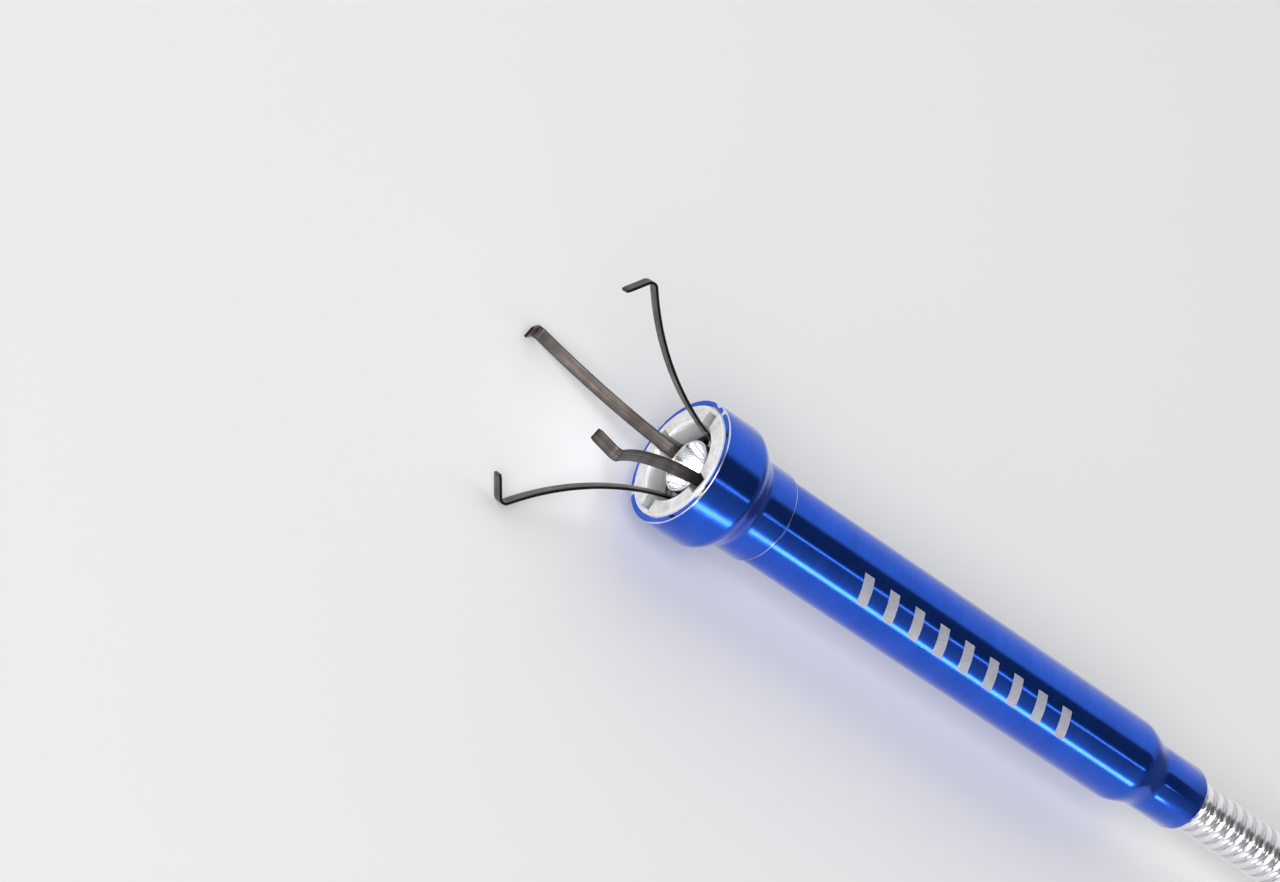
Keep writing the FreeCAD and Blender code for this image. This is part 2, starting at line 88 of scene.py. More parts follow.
# ---- camera, floor and light ----

CAMERA_PLACE = Vector((0.39143, 0.38017, 0.48536))
CAMERA_AIM = Vector((0.00528, -0.00142, -0.00306))
CAMERA_ROLL = math.radians(67.95)
CAMERA_LENS = 140.6
SENSOR_WIDTH = 36.0

FLOOR_REACH = 3.0
BARREL_MIDDLE = Vector((-0.058, 0, 0))
# A straight barrel along X mirrors the camera's line of sight to this share of X.
MIRROR_DIRECTION = (-0.529, 0.523, 0.669)


def add_camera():
    camera = bpy.data.cameras.new("camera")
    camera.lens = CAMERA_LENS
    camera.sensor_width = SENSOR_WIDTH
    camera.clip_start = 0.01
    holder = bpy.data.objects.new("camera", camera)
    bpy.context.scene.collection.objects.link(holder)
    look = (CAMERA_AIM - CAMERA_PLACE).to_track_quat("-Z", "Y").to_matrix().to_4x4()
    roll = Matrix.Rotation(CAMERA_ROLL, 4, "Z")
    holder.matrix_world = Matrix.Translation(CAMERA_PLACE) @ look @ roll
    bpy.context.scene.camera = holder


def add_floor():
    reach, z = FLOOR_REACH, cad_low[2]
    mesh = bpy.data.meshes.new("floor")
    corners = [(-reach, -reach, z), (reach, -reach, z), (reach, reach, z), (-reach, reach, z)]
    mesh.from_pydata(corners, [], [(0, 1, 2, 3)])
    floor = bpy.data.objects.new("floor", mesh)
    bpy.context.scene.collection.objects.link(floor)
    mesh.materials.append(floor_material())
    return floor


def add_area_light(name, place, aim, along, across, radiance):
    """A flat light whose longer side stays in the plane of the tool's length."""
    light = bpy.data.lights.new(name, "AREA")
    light.shape = "RECTANGLE"
    light.size, light.size_y = across, along
    light.energy = radiance * math.pi * along * across
    holder = bpy.data.objects.new(name, light)
    bpy.context.scene.collection.objects.link(holder)
    back = (place - aim).normalized()
    side = Vector((1, 0, 0)).cross(back).normalized()
    turn = Matrix((side, back.cross(side), back)).transposed().to_4x4()
    holder.matrix_world = Matrix.Translation(place) @ turn
    holder.visible_camera = False
    return holder


def spare_floor(holder, floor):
    """Keep a low light from burning a bright patch into the floor beside it."""
    spared = bpy.data.collections.new(holder.name + "_spares")
    spared.objects.link(floor)
    holder.light_linking.receiver_collection = spared
    spared.collection_objects[0].light_linking.link_state = "EXCLUDE"


def add_softbox(name, azimuth, distance, along, across, radiance):
    """A light parallel to the tool, where the barrel mirrors it to the camera."""
    turn = math.radians(azimuth)
    spread = math.hypot(*MIRROR_DIRECTION[1:])
    outward = Vector((MIRROR_DIRECTION[0], spread * math.sin(turn), spread * math.cos(turn)))
    place = BARREL_MIDDLE + distance * outward
    return add_area_light(name, place, Vector((place.x, 0, 0)), along, across, radiance)


# ---- node helpers ----

def new_material(name):
    material = bpy.data.materials.new(name)
    material.use_nodes = True
    tree = material.node_tree
    tree.nodes.clear()
    output = tree.nodes.new("ShaderNodeOutputMaterial")
    shader = tree.nodes.new("ShaderNodeBsdfPrincipled")
    tree.links.new(shader.outputs["BSDF"], output.inputs["Surface"])
    return material, tree, shader


def add(tree, kind, inputs=None, **settings):
    """A node with some settings, whose inputs are values or other nodes' sockets."""
    node = tree.nodes.new("ShaderNode" + kind)
    for key, value in settings.items():
        setattr(node, key, value)
    for key, value in (inputs or {}).items():
        if isinstance(value, bpy.types.NodeSocket):
            tree.links.new(value, node.inputs[key])
        else:
            node.inputs[key].default_value = value
    return node


def math_node(tree, operation, first, second=0.0, clamp=False):
    return add(tree, "Math", {0: first, 1: second}, operation=operation, use_clamp=clamp).outputs[0]


def scaled(tree, value, factor, offset):
    inputs = {0: value, 1: factor, 2: offset}
    return add(tree, "Math", inputs, operation="MULTIPLY_ADD").outputs[0]


def mix(tree, share, first, second):
    return add(tree, "MixRGB", {"Fac": share, "Color1": first, "Color2": second}).outputs[0]


def ramp(tree, value, stops):
    """A colour ramp from (position, colour) stops."""
    node = add(tree, "ValToRGB", {0: value})
    elements = node.color_ramp.elements
    while len(elements) < len(stops):
        elements.new(0.5)
    for element, (position, colour) in zip(elements, stops):
        element.position = position
        element.color = (*colour, 1.0)
    return node.outputs["Color"]


def grey(value):
    return (value, value, value)


def place_of(tree):
    return add(tree, "TexCoord").outputs["Object"]


def noise(tree, vector, scale, detail=4.0, rough=0.5):
    inputs = {"Vector": vector, "Scale": scale, "Detail": detail, "Roughness": rough}
    return add(tree, "TexNoise", inputs).outputs[0]


def ring_noise(tree, along, scale, detail):
    """Noise that changes along one line only, as a lathe tool leaves it."""
    inputs = {"W": along, "Scale": scale, "Detail": detail}
    return add(tree, "TexNoise", inputs, noise_dimensions="1D").outputs[0]


def stretched(tree, vector, factors):
    return add(tree, "Mapping", {"Vector": vector, "Scale": factors}).outputs[0]


def bump(tree, shader, height, strength, distance, below=None):
    inputs = {"Height": height, "Strength": strength, "Distance": distance}
    if below is not None:
        inputs["Normal"] = below
    node = add(tree, "Bump", inputs)
    tree.links.new(node.outputs[0], shader.inputs["Normal"])
    return node.outputs[0]


def link(tree, socket, shader, name):
    tree.links.new(socket, shader.inputs[name])


# ---- materials ----

ANODISED = (0.020, 0.116, 0.72)
ANODISED_DARK = (0.014, 0.094, 0.62)


def floor_material():
    material, tree, shader = new_material("floor")
    cloud = noise(tree, place_of(tree), 3.0)
    link(tree, ramp(tree, cloud, [(0.3, grey(0.90)), (0.7, grey(0.93))]), shader, "Base Color")
    shader.inputs["Roughness"].default_value = 0.6
    return material


def turned_material(name, colour, dark, roughness, marks=1.0, coat=0.0, painted_highlight_edges=()):
    """Metal turned on a lathe: fine rings about X, faint blotches, rubbed specks, and pale bands painted as
    highlight lines along given edges.
    """
    material, tree, shader = new_material(name)
    place = place_of(tree)
    split = add(tree, "SeparateXYZ", {0: place})
    rings = ring_noise(tree, split.outputs["X"], 9000.0, 3.0)
    broad = ring_noise(tree, split.outputs["X"], 900.0, 2.0)
    blotch = noise(tree, place, 220.0)
    mixed = math_node(tree, "ADD", math_node(tree, "MULTIPLY", blotch, 0.7),
                      math_node(tree, "MULTIPLY", broad, 0.3))
    tinted = ramp(tree, mixed, [(0.35, dark), (0.65, colour)])
    cells = add(tree, "TexVoronoi", {"Vector": place, "Scale": 420.0}, feature="F1")
    chance = add(tree, "SeparateXYZ", {0: cells.outputs["Color"]}).outputs["X"]
    speck = math_node(tree, "MULTIPLY", math_node(tree, "LESS_THAN", cells.outputs["Distance"], 0.028),
                      math_node(tree, "GREATER_THAN", chance, 0.80))
    specks_and_edge_highlight = speck  # bare metal shows at the specks; each edge that follows gets a pale band painted as a highlight line
    # painted highlight: a pale band round the tool at each listed depth, where a lit edge would catch the light
    for depth, width in painted_highlight_edges:
        away = math_node(tree, "ABSOLUTE", math_node(tree, "ADD", split.outputs["X"], depth * MM))
        reach = math_node(tree, "MULTIPLY", blotch, 2 * width * MM)
        specks_and_edge_highlight = math_node(tree, "MAXIMUM", specks_and_edge_highlight, math_node(tree, "LESS_THAN", away, reach))
    link(tree, mix(tree, specks_and_edge_highlight, tinted, (0.75, 0.77, 0.82, 1)), shader, "Base Color")
    link(tree, scaled(tree, blotch, 0.06, roughness - 0.03), shader, "Roughness")
    shader.inputs["Metallic"].default_value = 1.0
    shader.inputs["Coat Weight"].default_value = coat
    shader.inputs["Coat Roughness"].default_value = 0.07
    height = math_node(tree, "ADD", rings, math_node(tree, "MULTIPLY", broad, 1.5))
    first = bump(tree, shader, height, min(1.0, 0.35 * marks), 0.000004 * marks)
    grain = noise(tree, place, 6000.0, detail=2.0)
    bump(tree, shader, grain, 0.10, 0.000003, below=first)
    return material


def etched_material():
    """Anodising burnt off by a laser: pale, dull and finely grained."""
    material, tree, shader = new_material("etched_mark")
    place = place_of(tree)
    grain = noise(tree, place, 5000.0)
    tint = ramp(tree, grain, [(0.3, (0.62, 0.63, 0.68)), (0.7, (0.84, 0.85, 0.90))])
    link(tree, tint, shader, "Base Color")
    shader.inputs["Metallic"].default_value = 0.35
    shader.inputs["Roughness"].default_value = 0.5
    bump(tree, shader, grain, 0.3, 0.00001)
    return material


def magnet_material():
    """Dull nickel plate with pits and specks, and pale bands painted as highlights along its chipped outer edge
    and its bore.
    """
    material, tree, shader = new_material("magnet_nickel")
    place = place_of(tree)
    cloud = noise(tree, place, 700.0, detail=6.0, rough=0.65)
    base = ramp(tree, cloud, [(0.30, grey(0.60)), (0.50, grey(0.80)), (0.72, grey(0.90))])
    specks = add(tree, "TexVoronoi", {"Vector": place, "Scale": 2600.0}, feature="F1").outputs["Distance"]
    chosen = noise(tree, place, 380.0, detail=2.0)
    dotted = math_node(tree, "MULTIPLY", math_node(tree, "LESS_THAN", specks, 0.22),
                       math_node(tree, "GREATER_THAN", chosen, 0.56))
    spotted = mix(tree, math_node(tree, "MULTIPLY", dotted, 0.6), base, (0.16, 0.15, 0.15, 1))
    split = add(tree, "SeparateXYZ", {0: place})
    radius = add(tree, "CombineXYZ", {"Y": split.outputs["Y"], "Z": split.outputs["Z"]})
    length = add(tree, "VectorMath", {0: radius.outputs[0]}, operation="LENGTH").outputs["Value"]
    chips = noise(tree, place, 1800.0, detail=5.0, rough=0.7)
    outer = math_node(tree, "ADD", length, scaled(tree, chips, 0.0005, -0.0005))
    # painted highlight: a pale band along the outer rim, with a chipped inner line
    edge = math_node(tree, "GREATER_THAN", outer, MAGNET_RADIUS * MM - 0.00040)
    inner = math_node(tree, "SUBTRACT", length, math_node(tree, "MULTIPLY", chips, 0.0003))
    # painted highlight: a thin pale band along the bore's edge
    bore = math_node(tree, "LESS_THAN", inner, MAGNET_BORE * MM + 0.00006)
    painted_edge_highlight = math_node(tree, "MAXIMUM", edge, bore)
    link(tree, mix(tree, painted_edge_highlight, spotted, (0.92, 0.92, 0.93, 1)), shader, "Base Color")
    shader.inputs["Metallic"].default_value = 0.45
    rough = ramp(tree, cloud, [(0.3, grey(0.50)), (0.7, grey(0.36))])
    link(tree, rough, shader, "Roughness")
    height = math_node(tree, "SUBTRACT", cloud, math_node(tree, "MULTIPLY", dotted, 0.5))
    bump(tree, shader, height, 0.35, 0.00003)
    return material


def claw_material():
    """Tempered spring steel: brown-black and drawn lengthwise, with painted shade darkening its sheared edges and
    its closed end.
    """
    material, tree, shader = new_material("claw_steel")
    along = add(tree, "Attribute", attribute_name="strip_place")
    drawn = stretched(tree, along.outputs["Vector"], (60.0, 4200.0, 4200.0))
    streak = noise(tree, drawn, 1.0, detail=5.0, rough=0.6)
    cloud = noise(tree, place_of(tree), 420.0, detail=5.0)
    tone = math_node(tree, "ADD", math_node(tree, "MULTIPLY", streak, 0.55),
                     math_node(tree, "MULTIPLY", cloud, 0.45))
    face = ramp(tree, tone, [(0.36, (0.075, 0.062, 0.056)), (0.52, (0.14, 0.118, 0.108)),
                             (0.66, (0.25, 0.215, 0.20))])
    # painted shade: near black on the sheared sides and the closed end
    side = add(tree, "Attribute", attribute_name="strip_edge_shade")
    link(tree, mix(tree, side.outputs["Fac"], face, (0.012, 0.011, 0.011, 1)), shader, "Base Color")
    shader.inputs["Metallic"].default_value = 0.85
    link(tree, ramp(tree, streak, [(0.3, grey(0.50)), (0.7, grey(0.32))]), shader, "Roughness")
    bump(tree, shader, streak, 0.35, 0.00002)
    return material


def chrome_material():
    """Bright plated wire, very slightly wavy, with painted shade darkening its grooves."""
    material, tree, shader = new_material("gooseneck_chrome")
    place = place_of(tree)
    groove = add(tree, "Attribute", attribute_name="groove")
    cloud = noise(tree, place, 300.0, detail=4.0)
    uneven = math_node(tree, "ADD", cloud, 0.35)
    # painted shade: the groove weight, broken up by noise, darkens the sunken parts
    depth = math_node(tree, "MULTIPLY", groove.outputs["Fac"], uneven, clamp=True)
    plated = ramp(tree, cloud, [(0.35, (0.84, 0.85, 0.88)), (0.65, (0.95, 0.96, 0.98))])
    link(tree, mix(tree, depth, plated, (0.54, 0.54, 0.56, 1)), shader, "Base Color")
    shader.inputs["Metallic"].default_value = 1.0
    link(tree, ramp(tree, cloud, [(0.3, grey(0.26)), (0.7, grey(0.17))]), shader, "Roughness")
    bump(tree, shader, noise(tree, place, 1500.0, detail=3.0), 0.12, 0.00002)
    return material


def plain_metal(name, colour, roughness, scale=900.0):
    """Plated or drawn metal of the small and hidden pieces."""
    material, tree, shader = new_material(name)
    cloud = noise(tree, place_of(tree), scale, detail=5.0)
    dark = tuple(0.78 * part for part in colour)
    link(tree, ramp(tree, cloud, [(0.35, dark), (0.65, colour)]), shader, "Base Color")
    shader.inputs["Metallic"].default_value = 1.0
    rough = ramp(tree, cloud, [(0.3, grey(roughness + 0.08)), (0.7, grey(roughness - 0.05))])
    link(tree, rough, shader, "Roughness")
    bump(tree, shader, cloud, 0.15, 0.00001)
    return material


def moulded_material():
    material, tree, shader = new_material("white_plastic")
    grain = noise(tree, place_of(tree), 2500.0, detail=3.0)
    link(tree, ramp(tree, grain, [(0.3, grey(0.66)), (0.7, grey(0.74))]), shader, "Base Color")
    link(tree, ramp(tree, grain, [(0.3, grey(0.50)), (0.7, grey(0.40))]), shader, "Roughness")
    bump(tree, shader, grain, 0.2, 0.00001)
    return material


def lamp_material():
    """A lit lamp: nearly white, brightest at its nose."""
    material, tree, shader = new_material("lamp_lens")
    place = place_of(tree)
    split = add(tree, "SeparateXYZ", {0: place})
    front, rear = depth_range("led_lamp")
    reach = {"Value": split.outputs["X"], "From Min": -rear * MM, "From Max": -front * MM}
    nose = add(tree, "MapRange", reach)
    swirl = noise(tree, place, 900.0)
    tint = ramp(tree, swirl, [(0.3, (0.86, 0.90, 1.0)), (0.7, (0.95, 0.97, 1.0))])
    link(tree, tint, shader, "Base Color")
    link(tree, ramp(tree, nose.outputs[0], [(0.2, (0.55, 0.65, 0.9)), (0.8, (0.95, 0.97, 1.0))]),
         shader, "Emission Color")
    shader.inputs["Emission Strength"].default_value = 26.0
    shader.inputs["Roughness"].default_value = 0.12
    return material


def make_materials():
    steel = (0.55, 0.55, 0.57)
    return {
        "anodised_blue": turned_material("anodised_blue", ANODISED, ANODISED_DARK, 0.13,
                                         marks=1.6, coat=0.25),
        "magnet_nickel": magnet_material(),
        "claw_steel": claw_material(),
        "gooseneck_chrome": chrome_material(),
        "bright_reflector": plain_metal("bright_reflector", (0.82, 0.83, 0.85), 0.16),
        "lamp_lens": lamp_material(),
        "white_plastic": moulded_material(),
        "brass": turned_material("brass", (0.75, 0.54, 0.24), (0.62, 0.43, 0.18), 0.28),
        "plated_steel": plain_metal("plated_steel", steel, 0.30),
        "tinned_wire": plain_metal("tinned_wire", (0.66, 0.66, 0.66), 0.35),
        "cell_steel": plain_metal("cell_steel", (0.62, 0.62, 0.63), 0.25),
        "spring_steel": plain_metal("spring_steel", (0.33, 0.33, 0.35), 0.34),
        "cable_steel": plain_metal("cable_steel", (0.42, 0.42, 0.44), 0.36),
    }


# ---- mesh helpers ----

def on_circle(depth, radius, azimuth):
    """The point at a depth and radius in millimetres and an azimuth in radians."""
    return -depth * MM, radius * MM * math.sin(azimuth), radius * MM * math.cos(azimuth)


def new_piece(name, mesh, slot, body=None):
    piece = bpy.data.objects.new(name, mesh)
    bpy.context.scene.collection.objects.link(piece)
    mesh.materials.append(materials[slot])
    if body:
        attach(piece, body)
    return piece


def finish_mesh(bm, name):
    bmesh.ops.recalc_face_normals(bm, faces=bm.faces)
    mesh = bpy.data.meshes.new(name)
    bm.to_mesh(mesh)
    bm.free()
    for face in mesh.polygons:
        face.use_smooth = True
    mesh.set_sharp_from_angle(angle=SMOOTH_ANGLE)
    return mesh


def filleted(points, radius, steps=4):
    """A closed outline whose sharp corners are rounded off."""
    rounded = []
    count = len(points)
    for index, here in enumerate(points):
        here = Vector(here)
        before, after = Vector(points[index - 1]), Vector(points[(index + 1) % count])
        to_before, to_after = before - here, after - here
        turn = math.pi - to_before.angle(to_after)
        if turn < math.radians(25) or here.y == 0:
            rounded.append(tuple(here))
            continue
        cut = min(radius * math.tan(turn / 2), 0.45 * to_before.length, 0.45 * to_after.length)
        first, last = here + to_before.normalized() * cut, here + to_after.normalized() * cut
        for step in range(steps + 1):
            share = step / steps
            low, high = first.lerp(here, share), here.lerp(last, share)
            rounded.append(tuple(low.lerp(high, share)))
    return rounded


def lathe(name, outline, slot, body, fillet=0.12, segments=TURN_SEGMENTS):
    """A turned piece: a closed outline of (depth, radius) millimetres spun about X."""
    outline = filleted(outline, fillet)
    bm = bmesh.new()
    rings = []
    for depth, radius in outline:
        if radius < 1e-6:
            rings.append([bm.verts.new((-depth * MM, 0, 0))])
            continue
        turns = [2 * math.pi * step / segments for step in range(segments)]
        rings.append([bm.verts.new(on_circle(depth, radius, turn)) for turn in turns])
    for index, ring in enumerate(rings):
        following = rings[(index + 1) % len(rings)]
        if len(ring) == 1 and len(following) == 1:
            continue
        for step in range(segments):
            after = (step + 1) % segments
            corners = [ring[step % len(ring)], ring[after % len(ring)],
                       following[after % len(following)], following[step % len(following)]]
            bm.faces.new(list(dict.fromkeys(corners)))
    return new_piece(name, finish_mesh(bm, name), slot, body)


def eased(start, end, steps=18):
    """Outline points that swing smoothly from one (depth, radius) to another."""
    points = []
    for step in range(steps + 1):
        share = step / steps
        swing = 0.5 - 0.5 * math.cos(math.pi * share)
        points.append((start[0] + (end[0] - start[0]) * share, start[1] + (end[1] - start[1]) * swing))
    return points


# ---- head and cap ----

BARREL_RADIUS = widest("barrel")
CAP_RADIUS = widest("front_cap")
MAGNET_RADIUS = widest("magnet_ring")
MAGNET_BORE = 6.62
SKIRT_RADIUS = BARREL_RADIUS + 0.45
FERRULE_RADIUS = 5.5
FERRULE_TAPER = 6.6
FERRULE_LENGTH = 15.6
NECK_RADIUS = 4.4
NECK_HOLE = NECK_RADIUS + 0.02
TENON_RADIUS = BARREL_RADIUS - 0.5
TENON_LENGTH = 5.3
BARREL_WALL = 1.0
TAPER_WALL = 1.4
COLLAR_LENGTH = 7.1
COLLAR_TAPER = 5.5
CAP_CAVITY = 8.2


def make_barrel():
    front, rear = depth_range("barrel")
    shoulder = front + TENON_LENGTH
    taper = rear - FERRULE_LENGTH
    bore = BARREL_RADIUS - BARREL_WALL
    outline = [(front, bore), (front, TENON_RADIUS), (shoulder, TENON_RADIUS), (shoulder, BARREL_RADIUS)]
    outline += eased((taper, BARREL_RADIUS), (taper + FERRULE_TAPER, FERRULE_RADIUS))
    outline += [(rear - 1.2, FERRULE_RADIUS), (rear - 0.4, FERRULE_RADIUS - 0.25),
                (rear, FERRULE_RADIUS - 0.8), (rear, NECK_HOLE), (taper - TAPER_WALL, NECK_HOLE),
                (taper - TAPER_WALL, bore)]
    barrel = lathe("barrel_shell", outline, "anodised_blue", "head")
    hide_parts("barrel")


def make_front_cap():
    front, rear = depth_range("front_cap")
    collar = front + COLLAR_LENGTH
    pocket, pocket_floor = MAGNET_RADIUS + 0.05, depth_range("magnet_backing_ring")[1]
    thread = BARREL_RADIUS - 0.4
    outline = [(front, pocket), (front, CAP_RADIUS)]
    outline += eased((collar, CAP_RADIUS), (collar + COLLAR_TAPER, SKIRT_RADIUS))
    outline += [(rear, SKIRT_RADIUS), (rear, thread), (collar, thread), (collar, CAP_CAVITY),
                (pocket_floor, CAP_CAVITY), (pocket_floor, pocket)]
    cap = lathe("front_cap_shell", outline, "anodised_blue", "cap", fillet=0.2)
    cap.data.materials[0] = cap_material
    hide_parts("front_cap")


# The claws stand at these azimuths, and each leans a little towards the horizontal.
CLAWS = {"upper_left": 45.0, "upper_right": -45.0, "lower_left": 135.0, "lower_right": -135.0}
CLAW_LEAN = math.radians(7.5)
SHANK_RADIUS = 5.0
SLOT_WIDTH = 2.6
SLOT_REACH = 8.45
BORE_STEPS = 24
RIM_STEPS = 160


def claw_directions(azimuth):
    """(base, spread, across) of one claw: a point on its line, and two directions square to X."""
    angle = math.radians(azimuth)
    side = math.copysign(1.0, azimuth)
    lean = side * CLAW_LEAN if abs(azimuth) < 90 else -side * CLAW_LEAN
    base = Vector((0, math.sin(angle), math.cos(angle))) * SHANK_RADIUS
    spread = Vector((0, math.sin(angle + lean), math.cos(angle + lean)))
    return base, spread, Vector((1, 0, 0)).cross(spread)


def slot_corners(azimuth):
    """The four corners that a claw's slot adds to the magnet's bore, as (y, z)."""
    base, spread, across = claw_directions(azimuth)
    corners = []
    for side in (-1, 1):
        line = base + across * (side * SLOT_WIDTH / 2)
        along = line.dot(spread)
        mouth = -along + math.sqrt(along ** 2 - line.length_squared + MAGNET_BORE ** 2)
        end = SLOT_REACH - SHANK_RADIUS
        corners.append((line + spread * mouth, line + spread * end))
    return corners


def slotted_bore():
    """The magnet's inner outline as (y, z) points, once round."""
    stretches = []
    for azimuth in CLAWS.values():
        (mouth_a, end_a), (mouth_b, end_b) = slot_corners(azimuth)
        stretches.append([mouth_a, end_a, end_b, mouth_b])

    def turn(point):
        return math.atan2(point.y, point.z)

    for stretch in stretches:
        if (turn(stretch[3]) - turn(stretch[0])) % (2 * math.pi) > math.pi:
            stretch.reverse()
    stretches.sort(key=lambda stretch: turn(stretch[0]))
    outline = []
    for index, stretch in enumerate(stretches):
        outline += [(point.y, point.z) for point in stretch]
        start = turn(stretch[3])
        sweep = (turn(stretches[(index + 1) % len(stretches)][0]) - start) % (2 * math.pi)
        for step in range(1, BORE_STEPS):
            angle = start + sweep * step / BORE_STEPS
            outline.append((MAGNET_BORE * math.sin(angle), MAGNET_BORE * math.cos(angle)))
    return outline


def slotted_ring(name, node, slot, edge):
    """A flat ring with the claws' slots and softened edges, filled from its two outlines."""
    front, rear = depth_range(node)
    curve = bpy.data.curves.new(name, "CURVE")
    curve.dimensions = "2D"
    curve.fill_mode = "BOTH"
    curve.extrude = (rear - front) / 2 * MM - edge * MM
    curve.bevel_depth = edge * MM
    curve.bevel_resolution = 2
    curve.offset = -edge * MM
    rim = []
    for step in range(RIM_STEPS):
        angle = 2 * math.pi * step / RIM_STEPS
        rim.append((MAGNET_RADIUS * math.cos(angle), MAGNET_RADIUS * math.sin(angle)))
    for outline in (rim, slotted_bore()[::-1]):
        spline = curve.splines.new("POLY")
        spline.points.add(len(outline) - 1)
        for point, (across, up) in zip(spline.points, outline):
            point.co = (across * MM, up * MM, 0, 1)
        spline.use_cyclic_u = True
    source = bpy.data.objects.new(name, curve)
    bpy.context.scene.collection.objects.link(source)
    mesh = bpy.data.meshes.new_from_object(source.evaluated_get(bpy.context.evaluated_depsgraph_get()))
    bpy.data.objects.remove(source)
    # the curve's plane is turned so that its X is the tool's Y and its Y the tool's Z
    turned = Matrix(((0, 0, 1, 0), (1, 0, 0, 0), (0, 1, 0, 0), (0, 0, 0, 1)))
    mesh.transform(Matrix.Translation((-(front + rear) / 2 * MM, 0, 0)) @ turned)
    bm = bmesh.new()
    bm.from_mesh(mesh)
    bmesh.ops.remove_doubles(bm, verts=bm.verts, dist=1e-6)
    bpy.data.meshes.remove(mesh)
    ring = new_piece(name, finish_mesh(bm, name), slot, "cap")
    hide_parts(node)


def make_reflector():
    front, rear = depth_range("reflector")
    rim, throat, base = widest("reflector"), 1.52, 0.6
    depth = rear - front - base
    outline = [(front, rim), (rear, rim), (rear, throat)]
    steps = 16
    for step in range(steps + 1):
        share = step / steps
        outline.append((rear - base - depth * share ** 2, throat + (rim - 0.25 - throat) * share))
    cup = lathe("reflector_cup", outline, "bright_reflector", "cap", fillet=0.05)
    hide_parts("reflector")


def make_lamp():
    front, rear = depth_range("led_lamp")
    radius, rim, rim_length = 1.5, widest("led_lamp"), 1.8
    nose = front + radius
    steps = 12
    outline = []
    for step in range(steps + 1):
        angle = math.pi / 2 * step / steps
        outline.append((nose - radius * math.cos(angle), radius * math.sin(angle)))
    outline += [(rear - rim_length, radius), (rear - rim_length, rim), (rear, rim), (rear, 0)]
    lamp = lathe("lamp_bulb", outline, "lamp_lens", "cap", fillet=0.08, segments=64)
    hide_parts("led_lamp")


MARK_START, MARK_END = 34.0, 84.0
MARK_AZIMUTH = 43.0
MARK_SPAN = 38.0
MARK_BARS = 9


def make_etched_bars():
    """A plain row of slanted bars, etched round the barrel's upper side."""
    radius = BARREL_RADIUS + 0.012
    pitch = (MARK_END - MARK_START) / MARK_BARS
    width, slant, across, up = 2.1, 1.9, 6, 14
    bm = bmesh.new()
    for bar in range(MARK_BARS):
        start = MARK_START + bar * pitch
        grid = []
        for row in range(up + 1):
            share = row / up
            azimuth = math.radians(MARK_AZIMUTH + MARK_SPAN * (share - 0.5))
            line = []
            for column in range(across + 1):
                depth = start + slant * share + width * column / across
                line.append(bm.verts.new(on_circle(depth, radius, azimuth)))
            grid.append(line)
        for row in range(up):
            for column in range(across):
                bm.faces.new((grid[row][column], grid[row][column + 1],
                              grid[row + 1][column + 1], grid[row + 1][column]))
    bmesh.ops.solidify(bm, geom=bm.faces[:], thickness=0.00001)
    mesh = finish_mesh(bm, "etched_bars")
    mark = bpy.data.objects.new("etched_bars", mesh)
    bpy.context.scene.collection.objects.link(mark)
    mesh.materials.append(etched_material())
    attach(mark, "head")


# ---- claws ----

STRIP_WIDTH = 2.0
STRIP_THICKNESS = 0.45
ROOT_DEPTH = 6.0
ROOT_BEND, ROOT_ANGLE = 20.5, 17.0
SWEEP_BEND, KNUCKLE_ANGLE, HOOK_ANGLE = 44.5, 28.2, 48.3
HOOK_BEND, HOOK_TURN, HOOK_STRAIGHT = 1.0, -100.0, 3.6
STRIP_STEP = 0.5


def strip_path(start, heading, segments):
    """Stations (x, spread, heading) along straight lengths and (radius, turn) arcs."""
    x, spread = start
    angle = math.radians(heading)
    stations = [(x, spread, angle)]
    for segment in segments:
        if isinstance(segment, tuple):
            radius, turn = segment[0], math.radians(segment[1])
            lift = math.copysign(radius, turn)
            length = radius * abs(turn)
            steps = max(4, round(max(length / STRIP_STEP, abs(segment[1]) / 8)))
            centre = (x - lift * math.sin(angle), spread + lift * math.cos(angle))
            for step in range(1, steps + 1):
                here = angle + turn * step / steps
                stations.append((centre[0] + lift * math.sin(here),
                                 centre[1] - lift * math.cos(here), here))
            x, spread, angle = stations[-1]
        else:
            steps = max(3, round(segment / STRIP_STEP))
            for step in range(1, steps + 1):
                reach = segment * step / steps
                stations.append((x + reach * math.cos(angle), spread + reach * math.sin(angle), angle))
            x, spread, angle = stations[-1]
    return stations


def strip_section():
    """(across, out, edge) round a strip whose sheared sides are slightly rounded; edge weighs the painted shade on
    the sheared sides.
    """
    half, thick, corner = STRIP_WIDTH / 2, STRIP_THICKNESS / 2, 0.13
    points = []
    for turn in range(4):
        sign_across = 1 if turn in (0, 3) else -1
        sign_out = 1 if turn in (0, 1) else -1
        for step in range(5):
            angle = math.radians(90 * turn + 90 * step / 4)
            across = sign_across * (half - corner) + corner * math.cos(angle)
            out = sign_out * (thick - corner) + corner * math.sin(angle)
            edge = min(1.0, max(0.0, (abs(across) - half + 0.16) / 0.14))
            points.append((across, out, edge))
        next_sign = -sign_across if turn in (0, 2) else sign_across
        if turn in (0, 2):
            for share in (0.2, 0.4, 0.6, 0.8):
                start, end = sign_across * (half - corner), next_sign * (half - corner)
                points.append((start + (end - start) * share, sign_out * thick, 0.0))
    return points


